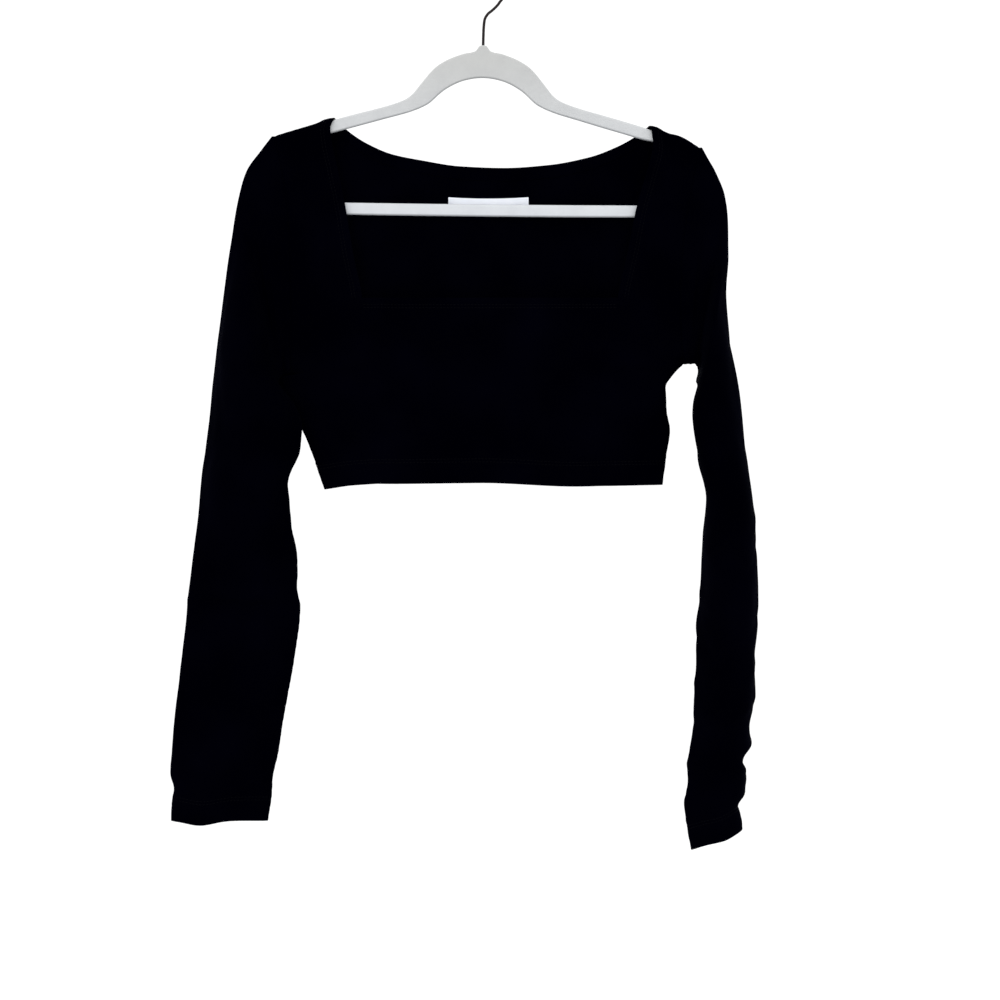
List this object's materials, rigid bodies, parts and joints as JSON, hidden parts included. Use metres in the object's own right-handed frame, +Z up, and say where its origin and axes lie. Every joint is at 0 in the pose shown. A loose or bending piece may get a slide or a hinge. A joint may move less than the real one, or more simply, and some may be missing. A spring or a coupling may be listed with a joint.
{
  "type": "long-sleeved crop top on a clothes hanger",
  "caption": "Black long-sleeved crop top with a wide square neck, hanging on a slim flocked hanger with a trouser bar.",
  "frame": {"origin": "inner top of the hook's loop, where the hanger hangs on a rail", "axes": "+Z up towards the rail, -Y out of the top's front, +X towards the wearer's left sleeve"},
  "size_m": [0.5421, 0.0799, 0.8182],
  "materials": {
    "black_jersey": "matt fine knit with a faint sheen",
    "label_satin": "white satin tape, bare",
    "flocked_plastic": "pale grey velvet flocking",
    "hook_steel": "dark gunmetal plating"
  },
  "bodies": {
    "root": {"front_panel": "black_jersey", "back_panel": "black_jersey", "sleeve_right": "black_jersey", "sleeve_left": "black_jersey", "neck_label": "label_satin", "hanger_body": "flocked_plastic", "hanger_hook": "hook_steel"}
  },
  "joints": []
}
